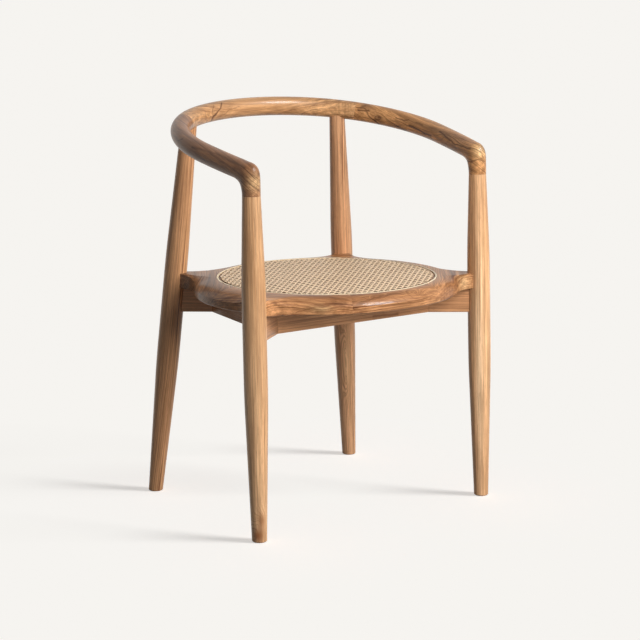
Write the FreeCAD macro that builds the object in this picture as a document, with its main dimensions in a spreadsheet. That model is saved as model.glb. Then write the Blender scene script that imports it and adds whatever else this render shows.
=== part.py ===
import FreeCAD, Part
import Sketcher
import math
import os

from FreeCAD import Placement, Rotation, Vector

# Driving dimensions, in millimetres and degrees.
# Frame: origin on the floor under the middle of the chair, front towards -Y, +Z up.
SIZES = {
    # overall box
    "overall_depth": 511.0,
    "overall_height": 753.0,
    # horseshoe rail, drawn in one plane that slopes down to the front
    "rail_diameter": 36.5,
    "rail_slope": 10.4,
    "crest_radius": 319.0,
    "crest_half_angle": 22.5,
    "side_radius": 240.4,
    "rear_leg_angle": 36.4,
    "rail_joint_angle": 45.5,
    "side_end_angle": 92.7,
    "arm_radius": 1340.0,
    "arm_end_angle": 96.74,
    # elbow that turns the arm down onto the front leg
    "elbow_run": 40.0,
    "elbow_inner_radius": 28.0,
    "elbow_outer_radius": 22.0,
    "elbow_land": 2.5,
    # legs
    "front_foot_half_spacing": 260.0,
    "front_foot_reach": 172.0,
    "rear_foot_half_spacing": 235.4,
    "rear_foot_reach": 225.7,
    "foot_diameter": 27.6,
    "foot_chamfer": 1.5,
    "leg_diameter": 43.2,
    "lower_taper_length": 262.0,
    "upper_taper_start": 472.0,
    "taper_blend": 36.0,
    "front_leg_top_diameter": 33.0,
    "rear_leg_top_diameter": 29.5,
    # seat board: an oval ring of six pieces, four of them with an ear that reaches a leg
    "seat_height": 437.0,
    "seat_tilt": 0.66,
    "seat_thickness": 31.5,
    "seat_half_width": 255.5,
    "seat_front_reach": 236.0,
    "seat_rear_reach": 236.0,
    "seat_end_radius": 275.0,
    "seat_side_radius": 250.0,
    "seat_side_setback": 10.0,
    "seat_opening_radius": 185.0,
    "seat_end_roll": 26.0,
    "seat_side_roll": 38.0,
    "seat_edge_drop": 17.0,
    "seat_edge_slope": 3.0,
    "seat_bottom_chamfer": 2.0,
    "front_joint_margin": 100.0,
    "rear_joint_margin": 39.0,
    "ear_tip_width": 22.0,
    "ear_drop": 2.5,
    "ear_blend_radius": 80,
    # cane panel and its reed spline
    "groove_radius": 205.4,
    "groove_width": 5.4,
    "groove_depth": 8.0,
    "cane_thickness": 1.2,
    "cane_turn_down": 6.0,
    "spline_rise": 0.8,
    # frame under the seat
    "strut_height": 46.0,
    "strut_thickness": 22.0,
    "front_strut_angle": 37.0,
    "rear_strut_angle": 39.0,
    "front_strut_reach": 97.0,
    "rear_strut_reach": 76.0,
    "strut_overhang": 26.0,
    "apron_thickness": 22.0,
    # joinery
    "tenon_thickness": 10.0,
    "tenon_height": 30.0,
    "tenon_depth": 14.0,
    "rear_tenon_diameter": 18.0,
    "rear_tenon_length": 22.0,
    "rail_dowel_diameter": 12.0,
    "rail_dowel_length": 50.0,
    "arm_dowel_diameter": 14.0,
    "arm_dowel_length": 50.0,
    "seat_key_length": 40.0,
    "seat_key_width": 30.0,
    "seat_key_thickness": 8.0,
    "seat_key_drop": 19.0,
    "apron_key_length": 22.0,
    "apron_key_width": 28.0,
    "apron_key_thickness": 6.0,
    "screw_diameter": 4.5,
    "screw_head_diameter": 9.0,
    "screw_head_height": 3.0,
    "screw_length": 46.0,
    "screw_grip": 18.0,
    "screw_bore_diameter": 11.0,
    "screw_offset": 50.0,
    # clearances
    "fit_gap": 0.2,
    "end_gap": 0.5,
}

ELBOW_SECTIONS = 9
FRONT, REAR = "front", "rear"
UP = Vector(0, 0, 1)

doc = FreeCAD.newDocument("rattan_dining_chair")
sheet = doc.addObject("Spreadsheet::Sheet", "sizes")
for row, (alias, value) in enumerate(SIZES.items(), start=1):
    sheet.set(f"A{row}", alias)
    sheet.set(f"B{row}", str(value))
    sheet.setAlias(f"B{row}", alias)
doc.recompute()


def size(alias):
    """A driving dimension, as the sheet holds it."""
    return float(sheet.get(alias))


def bind(thing, prop, expression):
    """Ties a property to the sheet; bare words in the expression are aliases written as sizes.NAME."""
    thing.setExpression(prop, expression)


# Sketch helpers


def origin_plane(body, role):
    return next(plane for plane in body.Origin.OriginFeatures if plane.Role == role)


def new_sketch(body, name, role="XY_Plane", offset=None):
    sketch = body.newObject("Sketcher::SketchObject", name)
    sketch.AttachmentSupport = [(origin_plane(body, role), "")]
    sketch.MapMode = "FlatFace"
    if offset is not None:
        sketch.AttachmentOffset = offset
    return sketch


def draw_chain(sketch, edges):
    """Adds lines and arcs in order and ties each end to the next edge where they meet."""
    first = sketch.GeometryCount
    for edge in edges:
        sketch.addGeometry(edge, False)
    count = len(edges)
    meetings = count if count > 2 else count - 1
    for index in range(meetings):
        here = first + index
        following = first + (index + 1) % count
        for here_end in (1, 2):
            for next_end in (1, 2):
                gap = sketch.getPoint(here, here_end) - sketch.getPoint(following, next_end)
                if here != following and gap.Length < 1e-6:
                    sketch.addConstraint(Sketcher.Constraint("Coincident", here, here_end, following, next_end))
    return first


def draw_circle(sketch, diameter, expression, distance=0.0, distance_expression=None):
    """A circle on the sketch's X axis, with its diameter and distance tied to the sheet."""
    index = sketch.addGeometry(Part.Circle(Vector(distance, 0, 0), UP, diameter / 2), False)
    if distance_expression is None:
        sketch.addConstraint(Sketcher.Constraint("Coincident", index, 3, -1, 1))
    else:
        sketch.addConstraint(Sketcher.Constraint("PointOnObject", index, 3, -1))
        place = sketch.addConstraint(Sketcher.Constraint("DistanceX", -1, 1, index, 3, distance))
        bind(sketch, f"Constraints[{place}]", distance_expression)
    width = sketch.addConstraint(Sketcher.Constraint("Diameter", index, diameter))
    bind(sketch, f"Constraints[{width}]", expression)
    return index


def line(start, end):
    return Part.LineSegment(start, end)


def arc(start, middle, end):
    return Part.Arc(start, middle, end)


def polygon(points):
    return [line(point, points[(index + 1) % len(points)]) for index, point in enumerate(points)]


def soft_corner(before, corner, after, trim):
    """The arc that rounds a corner, leaving both straight runs at the given distance from it."""
    back = (before - corner).normalize()
    ahead = (after - corner).normalize()
    half_turn = (math.pi - back.getAngle(ahead)) / 2
    radius = trim / math.tan(half_turn)
    inward = (back + ahead).normalize()
    middle = corner + inward * radius * (1 / math.cos(half_turn) - 1)
    return corner + back * trim, middle, corner + ahead * trim


# Solid helpers


def cylinder(name, start, direction, radius, radius_expression, height, height_expression):
    """A round bar from a point along a direction."""
    bar = doc.addObject("Part::Cylinder", name)
    bar.Radius = radius
    bar.Height = height
    bind(bar, "Radius", radius_expression)
    bind(bar, "Height", height_expression)
    bar.Placement = Placement(start, Rotation(UP, direction))
    return bar


def boolean(kind, name, base, tools):
    """A cut or a fuse of one shape with one or more others."""
    tool = tools[0]
    if len(tools) > 1:
        tool = doc.addObject("Part::Compound", name + "_tools")
        tool.Links = tools
    result = doc.addObject(kind, name)
    result.Base = base
    result.Tool = tool
    return result


def cut(name, base, tools):
    return boolean("Part::Cut", name, base, tools)


def fuse(name, base, tool):
    return boolean("Part::Fuse", name, base, [tool])


def mirrored(name, source):
    """The left-hand piece, as the mirror image of the right-hand one."""
    copy = doc.addObject("Part::Mirroring", name)
    copy.Source = source
    copy.Normal = (1, 0, 0)
    copy.Base = (0, 0, 0)
    return copy


def group(name, members):
    bundle = doc.addObject("Part::Compound", name)
    bundle.Links = members
    return bundle


def flip(vector):
    return Vector(-vector.x, vector.y, vector.z)


class Dowel:
    """A dowel centred on a joint, with the slightly larger hole that both pieces get."""

    def __init__(self, name, kind, centre, direction):
        self.name = name
        self.kind = kind
        self.centre = centre
        self.direction = direction.normalize()

    def peg(self, suffix, left=False):
        turn = flip if left else Vector
        return self.bar(suffix, turn(self.centre), turn(self.direction), 0.0, "", 0.0, "")

    def hole(self, suffix):
        gap, end = size("fit_gap"), size("end_gap")
        return self.bar(suffix, self.centre, self.direction, gap, " + sizes.fit_gap", end, " + 2 * sizes.end_gap")

    def bar(self, suffix, centre, direction, gap, gap_words, end, end_words):
        height = size(self.kind + "_length") + 2 * end
        return cylinder(
            self.name + suffix,
            centre - direction * (height / 2),
            direction,
            size(self.kind + "_diameter") / 2 + gap,
            f"sizes.{self.kind}_diameter / 2{gap_words}",
            height,
            f"sizes.{self.kind}_length{end_words}",
        )


class Key:
    """A flat loose tenon centred on a joint, with the slightly larger slot that both pieces get."""

    def __init__(self, name, kind, centre, direction, across):
        self.name = name
        self.kind = kind
        self.centre = centre
        self.direction = direction.normalize()
        self.across = across.normalize()

    def peg(self, suffix, left=False):
        return self.block(suffix, flip if left else Vector, 0.0, "", 0.0, "")

    def hole(self, suffix):
        gap, end = size("fit_gap"), size("end_gap")
        return self.block(suffix, Vector, gap, " + 2 * sizes.fit_gap", end, " + 2 * sizes.end_gap")

    def block(self, suffix, turn, gap, gap_words, end, end_words):
        length = size(self.kind + "_length") + 2 * end
        width = size(self.kind + "_width") + 2 * gap
        thickness = size(self.kind + "_thickness") + 2 * gap
        along, across = turn(self.direction), turn(self.across)
        square = along.cross(across)
        block = doc.addObject("Part::Box", self.name + suffix)
        block.Length = length
        block.Width = width
        block.Height = thickness
        bind(block, "Length", f"sizes.{self.kind}_length{end_words}")
        bind(block, "Width", f"sizes.{self.kind}_width{gap_words}")
        bind(block, "Height", f"sizes.{self.kind}_thickness{gap_words}")
        corner = turn(self.centre) - (along * length + across * width + square * thickness) * 0.5
        block.Placement = Placement(corner, Rotation(along, across, square, "XYZ"))
        return block


# Layout of the rail: a crest arc, a side arc and a long arm arc on each side, in one sloping plane

rail_radius = size("rail_diameter") / 2
rail_frame = Placement(
    Vector(0, size("overall_depth") / 2 - rail_radius, size("overall_height") - rail_radius),
    Rotation(Vector(1, 0, 0), size("rail_slope")),
)


def bearing(angle):
    """Unit vector in the rail's plane, at an angle from straight back towards the right arm."""
    return Vector(math.sin(math.radians(angle)), math.cos(math.radians(angle)), 0)


crest_centre = bearing(0) * -size("crest_radius")
side_centre = crest_centre + bearing(size("crest_half_angle")) * (size("crest_radius") - size("side_radius"))
arm_centre = side_centre + bearing(size("side_end_angle")) * (size("side_radius") - size("arm_radius"))
arm_end = arm_centre + bearing(size("arm_end_angle")) * size("arm_radius")
elbow_ahead = Vector(bearing(size("arm_end_angle")).y, -bearing(size("arm_end_angle")).x, 0)
corner_in_rail = arm_end + elbow_ahead * size("elbow_run")
rear_top_in_rail = side_centre + bearing(size("rear_leg_angle")) * size("side_radius")
elbow_corner = rail_frame.multVec(corner_in_rail)
rear_top = rail_frame.multVec(rear_top_in_rail)


# Layout of the legs: straight axes from the feet to the rail

leg_foot = {
    FRONT: Vector(size("front_foot_half_spacing"), -size("front_foot_reach"), 0),
    REAR: Vector(size("rear_foot_half_spacing"), size("rear_foot_reach"), 0),
}
leg_top = {FRONT: elbow_corner, REAR: rear_top}
leg_axis = {end: (leg_top[end] - leg_foot[end]).normalize() for end in (FRONT, REAR)}
leg_radius = size("leg_diameter") / 2


# Layout of the seat and of the frame under it, both tilted a little to the rear.
# In the seat's own frame the origin is under the middle of the board, on its underside.

seat_frame = Placement(
    Vector(0, size("seat_front_reach") - size("overall_depth") / 2, size("seat_height") - size("seat_thickness")),
    Rotation(Vector(1, 0, 0), -size("seat_tilt")),
)
seat_up = seat_frame.Rotation.multVec(UP)
frame_bottom = -size("strut_height")
strut_middle = frame_bottom / 2
strut_angle = {FRONT: 180 - size("front_strut_angle"), REAR: 180 + size("rear_strut_angle")}
strut_reach = {FRONT: size("front_strut_reach"), REAR: size("rear_strut_reach")}


def leg_in_seat(end, level):
    """Where a leg's axis crosses a level of the seat's own frame."""
    to_seat = seat_frame.inverse()
    foot = to_seat.multVec(leg_foot[end])
    axis = to_seat.Rotation.multVec(leg_axis[end])
    return foot + axis * ((level - foot.z) / axis.z)


def strut_direction(end):
    angle = math.radians(strut_angle[end])
    return Vector(math.cos(angle), math.sin(angle), 0)


def apron_corner(end, side):
    """Where an apron's outer face meets a strut; side is +1 for the strut's left flank seen from the leg."""
    along = strut_direction(end)
    across = UP.cross(along)
    root = leg_in_seat(end, strut_middle)
    half = size("strut_thickness") / 2
    corner = root + along * strut_reach[end] + across * (half * side)
    return Vector(corner.x, corner.y, frame_bottom)


# Elbow geometry, in the rail's own frame

elbow_down = rail_frame.Rotation.inverted().multVec(leg_axis[FRONT] * -1)
elbow_normal = elbow_ahead.cross(elbow_down).normalize()
elbow_turn = elbow_ahead.getAngle(elbow_down)
front_top_radius = size("front_leg_top_diameter") / 2


def square_to(direction, towards):
    """The part of one direction that is square to another, as a unit vector."""
    return (towards - direction * direction.dot(towards)).normalize()


under_arm = square_to(elbow_ahead, elbow_down)
behind_leg = square_to(elbow_down, elbow_ahead * -1)


def corner_between(arm_offset, leg_offset):
    """Where a line beside the arm meets a line beside the leg; offsets are towards the inside of the elbow."""
    sine = math.sin(elbow_turn)
    cosine = math.cos(elbow_turn)
    along_arm = (arm_offset * cosine - leg_offset) / sine
    return corner_in_rail + under_arm * arm_offset + elbow_ahead * along_arm


inner_radius = size("elbow_inner_radius")
outer_radius = size("elbow_outer_radius")
bend_centre = corner_between(rail_radius + inner_radius, front_top_radius + inner_radius)
nose_centre = corner_between(outer_radius - rail_radius, outer_radius - front_top_radius)
elbow_drop = (bend_centre - corner_in_rail).dot(elbow_down) + size("elbow_land")


def elbow_ray(angle):
    """Direction from the centre of the inner bend, turned from the arm towards the leg."""
    return Rotation(elbow_normal, math.degrees(angle)).multVec(under_arm * -1)


def elbow_reach(angle):
    """Distance along a ray to the outside of the elbow, which has a rounded nose."""
    ray = elbow_ray(angle)
    if angle < elbow_turn / 2:
        run, face, offset = elbow_ahead, under_arm, rail_radius
        past_tangent = 1
    else:
        run, face, offset = elbow_down, behind_leg, front_top_radius
        past_tangent = -1
    straight = (inner_radius + 2 * offset) / -ray.dot(face)
    hit = bend_centre + ray * straight
    if (hit - nose_centre).dot(run) * past_tangent < 0:
        return straight
    to_nose = nose_centre - bend_centre
    middle = to_nose.dot(ray)
    return middle + math.sqrt(outer_radius ** 2 - to_nose.Length ** 2 + middle ** 2)


def arm_tangent_frame(centre, ray):
    """Placement of an elbow section: X along the ray, Y square to the elbow's plane."""
    return Placement(centre, Rotation(ray, elbow_normal, ray.cross(elbow_normal), "XYZ"))


# Rail pieces


def rail_arc_sketch(body, name, radius_alias, centre, start_angle):
    """The rail's round section, set up to be turned about the centre of one of its arcs."""
    offset = Placement(Vector(centre.x, 0, -centre.y), Rotation(Vector(0, 1, 0), start_angle))
    sketch = new_sketch(body, name, "XZ_Plane", offset)
    draw_circle(sketch, 2 * rail_radius, "sizes.rail_diameter", size(radius_alias), f"sizes.{radius_alias}")
    return sketch


def rail_arc(body, name, radius_alias, centre, first, last, sweep_expression):
    """A stretch of the rail between two bearings, turned about its arc's centre."""
    sketch = rail_arc_sketch(body, name + "_section", radius_alias, centre, 90 - last)
    sweep = body.newObject("PartDesign::Revolution", name)
    sweep.Profile = sketch
    sweep.ReferenceAxis = (sketch, ["V_Axis"])
    sweep.Angle = last - first
    bind(sweep, "Angle", sweep_expression)
    return sweep


def rail_body(name):
    body = doc.addObject("PartDesign::Body", name)
    body.Placement = rail_frame
    return body


def rail_dowel(name, centre, radius_alias, angle):
    joint = centre + bearing(angle) * size(radius_alias)
    along = Vector(bearing(angle).y, -bearing(angle).x, 0)
    return Dowel(name, "rail_dowel", rail_frame.multVec(joint), rail_frame.Rotation.multVec(along))


crest_joint = rail_dowel("crest_joint", crest_centre, "crest_radius", size("crest_half_angle"))
arm_joint = rail_dowel("arm_joint", side_centre, "side_radius", size("rail_joint_angle"))


def make_crest_rail():
    blank = rail_body("crest_blank")
    half = size("crest_half_angle")
    rail_arc(blank, "crest_bend", "crest_radius", crest_centre, -half, half, "2 * sizes.crest_half_angle")
    right_hole = crest_joint.hole("_crest_hole")
    left_hole = mirrored("crest_joint_crest_hole_left", right_hole)
    return cut("crest_rail", blank, [right_hole, left_hole])


def tenon_bar(name, gap, gap_words, end, end_words):
    """The round tenon of the right rear leg, from one rail radius inside the leg up into the rail."""
    length = size("rear_tenon_length") + rail_radius + end
    return cylinder(
        name,
        rear_top - leg_axis[REAR] * (2 * rail_radius),
        leg_axis[REAR],
        size("rear_tenon_diameter") / 2 + gap,
        f"sizes.rear_tenon_diameter / 2{gap_words}",
        length,
        f"sizes.rear_tenon_length + sizes.rail_diameter / 2{end_words}",
    )


def make_rail_corner():
    blank = rail_body("rail_corner_blank")
    rail_arc(
        blank,
        "corner_bend",
        "side_radius",
        side_centre,
        size("crest_half_angle"),
        size("rail_joint_angle"),
        "sizes.rail_joint_angle - sizes.crest_half_angle",
    )
    holes = [crest_joint.hole("_corner_hole"), arm_joint.hole("_corner_hole")]
    holes.append(tenon_bar("rear_tenon_hole", size("fit_gap"), " + sizes.fit_gap", size("end_gap"), " + sizes.end_gap"))
    return cut("rail_corner_right", blank, holes)


def elbow_section(body, name, placement, thickness, width):
    """One section of the elbow: round at its ends, an upright oval through the bend."""
    sketch = new_sketch(body, f"elbow_section_{name}", "XY_Plane", placement)
    if thickness - width < 1e-6:
        sketch.addGeometry(Part.Circle(Vector(), UP, width / 2), False)
    else:
        sketch.addGeometry(Part.Ellipse(Vector(), thickness / 2, width / 2), False)
    return sketch


def make_arm():
    blank = rail_body("arm_blank")
    rail_arc(
        blank,
        "arm_side_bend",
        "side_radius",
        side_centre,
        size("rail_joint_angle"),
        size("side_end_angle"),
        "sizes.side_end_angle - sizes.rail_joint_angle",
    )
    rail_arc(
        blank,
        "arm_front_bend",
        "arm_radius",
        arm_centre,
        size("side_end_angle"),
        size("arm_end_angle"),
        "sizes.arm_end_angle - sizes.side_end_angle",
    )
    start = arm_tangent_frame(arm_end, elbow_ray(0))
    sections = [elbow_section(blank, "start", start, 0, 2 * rail_radius)]
    for index in range(ELBOW_SECTIONS):
        share = index / (ELBOW_SECTIONS - 1)
        angle = elbow_turn * share
        ray = elbow_ray(angle)
        thickness = elbow_reach(angle) - inner_radius
        width = 2 * (rail_radius + (front_top_radius - rail_radius) * share)
        centre = bend_centre + ray * (inner_radius + thickness / 2)
        sections.append(elbow_section(blank, index, arm_tangent_frame(centre, ray), thickness, width))
    ray = elbow_ray(elbow_turn)
    foot = corner_in_rail + elbow_down * elbow_drop
    sections.append(elbow_section(blank, "foot", arm_tangent_frame(foot, ray), 0, 2 * front_top_radius))
    elbow = blank.newObject("PartDesign::AdditiveLoft", "elbow")
    elbow.Profile = sections[0]
    elbow.Sections = sections[1:]
    return cut("arm_right", blank, [arm_joint.hole("_arm_hole"), elbow_joint.hole("_arm_hole")])


# Legs


def leg_length(end):
    """Length of a leg from the floor to its shoulder, or to the rail's centre at the rear."""
    full = (leg_top[end] - leg_foot[end]).Length
    return full - elbow_drop if end == FRONT else full


elbow_joint = Dowel(
    "elbow_joint", "arm_dowel", leg_foot[FRONT] + leg_axis[FRONT] * leg_length(FRONT), leg_axis[FRONT]
)


def leg_profile(end):
    """Half outline of a turned leg: tapered to the foot and to the top, with a straight middle."""
    foot = size("foot_diameter") / 2
    top = size(end + "_leg_top_diameter") / 2
    length = leg_length(end)
    trim = size("taper_blend")
    lower = Vector(leg_radius, size("lower_taper_length"), 0)
    spare = size("foot_diameter") / 4
    low = Vector(foot - (leg_radius - foot) * spare / lower.y, -spare, 0)
    upper = Vector(leg_radius, size("upper_taper_start"), 0)
    high = Vector(top, length, 0)
    lower_arc = soft_corner(low, lower, upper, trim)
    upper_arc = soft_corner(lower, upper, high, trim)
    return [
        line(Vector(0, -spare, 0), low),
        line(low, lower_arc[0]),
        arc(*lower_arc),
        line(lower_arc[2], upper_arc[0]),
        arc(*upper_arc),
        line(upper_arc[2], high),
        line(high, Vector(0, length, 0)),
        line(Vector(0, length, 0), Vector(0, -spare, 0)),
    ]


def leg_blank(end):
    """A leg turned on its own axis, sawn level with the floor and bevelled round its foot."""
    body = doc.addObject("PartDesign::Body", end + "_leg_blank")
    sketch = new_sketch(body, end + "_leg_profile", "XZ_Plane")
    draw_chain(sketch, leg_profile(end))
    turned = body.newObject("PartDesign::Revolution", end + "_leg_turning")
    turned.Profile = sketch
    turned.ReferenceAxis = (sketch, ["V_Axis"])
    turned.Angle = 360
    body.Placement = Placement(leg_foot[end], Rotation(UP, leg_axis[end]))
    floor = doc.addObject("Part::Box", end + "_floor")
    for side in ("Length", "Width", "Height"):
        bind(floor, side, "2 * sizes.foot_diameter")
    reach = size("foot_diameter")
    floor.Placement = Placement(leg_foot[end] - Vector(reach, reach, 2 * reach), Rotation())
    sawn = cut(end + "_leg_sawn", body, [floor])
    doc.recompute()
    bevel = doc.addObject("Part::Chamfer", end + "_leg_bevel")
    bevel.Base = sawn
    width = size("foot_chamfer")
    rims = [number for number, edge in enumerate(sawn.Shape.Edges, 1) if edge.BoundBox.ZMax < 0.01]
    bevel.Edges = [(number, width, width) for number in rims]
    return bevel


def strut_frame(end):
    """Placement of a strut: X along it from the leg inwards, Z up from its underside."""
    root = leg_in_seat(end, strut_middle)
    return seat_frame.multiply(Placement(Vector(root.x, root.y, frame_bottom), Rotation(UP, strut_angle[end])))


def tenon_block(name, end, gap, gap_words):
    """The strut's tenon, or with a gap all round the mortise that takes it."""
    block = doc.addObject("Part::Box", name)
    block.Length = leg_radius + gap
    block.Width = size("tenon_thickness") + 2 * gap
    block.Height = size("tenon_height") + 2 * gap
    bind(block, "Length", f"sizes.leg_diameter / 2{gap_words[0]}")
    bind(block, "Width", f"sizes.tenon_thickness{gap_words[1]}")
    bind(block, "Height", f"sizes.tenon_height{gap_words[1]}")
    start = Vector(
        leg_radius - size("tenon_depth") - gap,
        -size("tenon_thickness") / 2 - gap,
        (size("strut_height") - size("tenon_height")) / 2 - gap,
    )
    block.Placement = strut_frame(end).multiply(Placement(start, Rotation()))
    return block


def mortise(end):
    words = (" + sizes.fit_gap", " + 2 * sizes.fit_gap")
    return tenon_block(end + "_mortise", end, size("fit_gap"), words)


def make_front_leg():
    return cut("front_leg_right", leg_blank(FRONT), [elbow_joint.hole("_leg_hole"), mortise(FRONT)])


def make_rear_leg():
    """The rear leg is coped to the rail's underside and carries a turned tenon."""
    envelope = rail_body("rail_envelope")
    sketch = rail_arc_sketch(envelope, "envelope_section", "side_radius", side_centre, 90 - size("rail_joint_angle"))
    sketch.setExpression("Constraints[2]", "sizes.rail_diameter + 2 * sizes.fit_gap")
    sweep = envelope.newObject("PartDesign::Revolution", "envelope_bend")
    sweep.Profile = sketch
    sweep.ReferenceAxis = (sketch, ["V_Axis"])
    sweep.Angle = size("rail_joint_angle") - size("crest_half_angle")
    bind(sweep, "Angle", "sizes.rail_joint_angle - sizes.crest_half_angle")
    coped = cut("rear_leg_coped", leg_blank(REAR), [envelope, mortise(REAR)])
    tenon = tenon_bar("rear_tenon", 0.0, "", 0.0, "")
    return fuse("rear_leg_right", coped, tenon)


# Frame under the seat


def leg_clearance(name, end):
    """A round bar a little larger than the leg's middle, to cope what meets the leg."""
    height = size("strut_height") + 2 * size("seat_thickness")
    return cylinder(
        name,
        seat_frame.multVec(leg_in_seat(end, frame_bottom - size("seat_thickness") / 2)),
        leg_axis[end],
        leg_radius + size("fit_gap"),
        "sizes.leg_diameter / 2 + sizes.fit_gap",
        height,
        "sizes.strut_height + 2 * sizes.seat_thickness",
    )


def apron_line(end):
    """Ends of an apron's outer face and its direction, seen on the right-hand half."""
    if end == "side":
        return apron_corner(FRONT, -1), apron_corner(REAR, 1)
    inner = apron_corner(end, 1 if end == FRONT else -1)
    return inner, flip(inner)


def apron_keys(name):
    """The loose tenon at the right-hand end of an apron, or those at both ends of a side one, each with its strut."""
    start, finish = apron_line(name)
    along = (finish - start).normalize()
    inward = apron_inward(name)
    strut_ends = {"side": (FRONT, REAR)}.get(name, (name,))
    keys = []
    for strut_end, end_point in zip(strut_ends, (start, finish)):
        flank = strut_direction(strut_end)
        half = inward * (size("apron_thickness") / 2)
        slide = half.cross(flank).z / along.cross(flank).z
        middle = end_point + half - along * slide + UP * (size("strut_height") / 2)
        direction = seat_frame.Rotation.multVec(along)
        key = Key(f"{name}_apron_key_{strut_end}", "apron_key", seat_frame.multVec(middle), direction, seat_up)
        keys.append((key, strut_end))
    return keys


def apron_inward(name):
    """Direction from an apron's outer face to its inner face."""
    start, finish = apron_line(name)
    across = UP.cross((finish - start).normalize())
    return across if across.dot(start) < 0 else across * -1


def make_apron(name, label):
    """A flat apron whose ends are cut to lie on the flanks of the two struts."""
    start, finish = apron_line(name)
    along = (finish - start).normalize()
    inward = apron_inward(name) * size("apron_thickness")
    strut_ends = (FRONT, REAR) if name == "side" else (name, name)
    flanks = [strut_direction(strut_ends[0]), strut_direction(strut_ends[1])]
    if name != "side":
        flanks[1] = flip(flanks[1])
    inner = []
    for corner, flank in zip((start, finish), flanks):
        slide = inward.cross(flank).z / along.cross(flank).z
        inner.append(corner + inward - along * slide)
    outline = [start, finish, inner[1], inner[0]]
    body = doc.addObject("PartDesign::Body", label + "_blank")
    sketch = new_sketch(body, label + "_outline")
    draw_chain(sketch, polygon([Vector(point.x, point.y, 0) for point in outline]))
    board = body.newObject("PartDesign::Pad", label + "_pad")
    board.Profile = sketch
    board.Length = size("strut_height")
    bind(board, "Length", "sizes.strut_height")
    body.Placement = seat_frame.multiply(Placement(UP * frame_bottom, Rotation()))
    holes = [key.hole("_apron_slot") for key, _ in apron_keys(name)]
    if name != "side":
        holes += [mirrored(hole.Name + "_left", hole) for hole in list(holes)]
    return cut(label, body, holes)


def screw_foot(end):
    """Foot of the axis of a strut's seat screw, on the strut's underside."""
    return strut_frame(end).multVec(Vector(size("screw_offset"), 0, 0))


def screw_seat_depth():
    """How far up the strut the screw heads sit."""
    return size("strut_height") + size("screw_grip") - size("screw_length")


def make_strut(end):
    """A diagonal strut: coped and tenoned to the leg, with the aprons dowelled to its flanks."""
    bar = doc.addObject("Part::Box", end + "_strut_bar")
    bar.Length = strut_reach[end] + size("strut_overhang")
    bar.Width = size("strut_thickness")
    bar.Height = size("strut_height")
    bind(bar, "Length", f"sizes.{end}_strut_reach + sizes.strut_overhang")
    bind(bar, "Width", "sizes.strut_thickness")
    bind(bar, "Height", "sizes.strut_height")
    bar.Placement = strut_frame(end).multiply(Placement(Vector(0, -size("strut_thickness") / 2, 0), Rotation()))
    holes = [leg_clearance(end + "_strut_cope", end)]
    for name in (end, "side"):
        holes += [key.hole("_strut_slot") for key, owner in apron_keys(name) if owner == end]
    holes.append(
        cylinder(
            end + "_screw_bore",
            screw_foot(end),
            seat_up,
            size("screw_bore_diameter") / 2,
            "sizes.screw_bore_diameter / 2",
            screw_seat_depth(),
            "sizes.strut_height + sizes.screw_grip - sizes.screw_length",
        )
    )
    holes.append(
        cylinder(
            end + "_screw_way",
            screw_foot(end),
            seat_up,
            size("screw_diameter") / 2 + size("fit_gap"),
            "sizes.screw_diameter / 2 + sizes.fit_gap",
            size("strut_height"),
            "sizes.strut_height",
        )
    )
    coped = cut(end + "_strut_coped", bar, holes)
    tenon = tenon_block(end + "_strut_tenon", end, 0.0, ("", ""))
    return fuse(f"{end}_strut_right", coped, tenon)


# Seat board, drawn about the seat's centre


def polar(radius, angle):
    return Vector(radius * math.cos(angle), radius * math.sin(angle), 0)


def seat_arc(name):
    """Centre and radius of one arc of the oval outline, and how far its rolled edge reaches in."""
    end_radius = size("seat_end_radius")
    if name == FRONT:
        return Vector(0, end_radius - size("seat_front_reach"), 0), end_radius, size("seat_end_roll")
    if name == REAR:
        return Vector(0, size("seat_rear_reach") - end_radius, 0), end_radius, size("seat_end_roll")
    side_radius = size("seat_side_radius")
    centre = Vector(size("seat_half_width") - side_radius, -size("seat_side_setback"), 0)
    return centre, side_radius, size("seat_side_roll")


def on_arc(name, angle, inset=0.0):
    """Where a ray from the seat's centre crosses an arc of the outline, or one set in from it."""
    centre, radius, _ = seat_arc(name)
    ray = polar(1, angle)
    along = ray.dot(centre)
    return ray * (along + math.sqrt((radius - inset) ** 2 - centre.Length ** 2 + along ** 2))


def meet(first_centre, first_radius, second_centre, second_radius, towards):
    """The point at given distances from two centres, on the side that a direction points to."""
    line_between = second_centre - first_centre
    gap = line_between.Length
    unit = line_between.normalize()
    along = (first_radius ** 2 - second_radius ** 2 + gap ** 2) / (2 * gap)
    height = math.sqrt(first_radius ** 2 - along ** 2)
    across = UP.cross(unit)
    if across.dot(towards) < 0:
        across = across * -1
    return first_centre + unit * along + across * height


def bend_middle(hub, start, finish, radius):
    """The middle point of an arc about a hub."""
    return hub + ((start - hub).normalize() + (finish - hub).normalize()).normalize() * radius


def ear_root(end):
    """The leg's axis, level with the middle of the board, in the seat's own frame."""
    root = leg_in_seat(end, size("seat_thickness") / 2)
    return Vector(root.x, root.y, 0)


def ear_side(end, side):
    """Direction square to an ear; side is +1 for its flank at the larger angle."""
    return UP.cross(ear_root(end).normalize()) * side


def ear_flank(end, arc_name, side):
    """The hollow flank of an ear, tangent to the outline and running on to the leg's axis."""
    centre, radius, _ = seat_arc(arc_name)
    blend = size("ear_blend_radius")
    outward = ear_side(end, side)
    tip = ear_root(end) + outward * (size("ear_tip_width") / 2)
    hub = meet(centre, radius + blend, tip, blend, outward)
    leave = centre + (hub - centre).normalize() * radius
    return leave, bend_middle(hub, leave, tip, blend), tip


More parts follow.
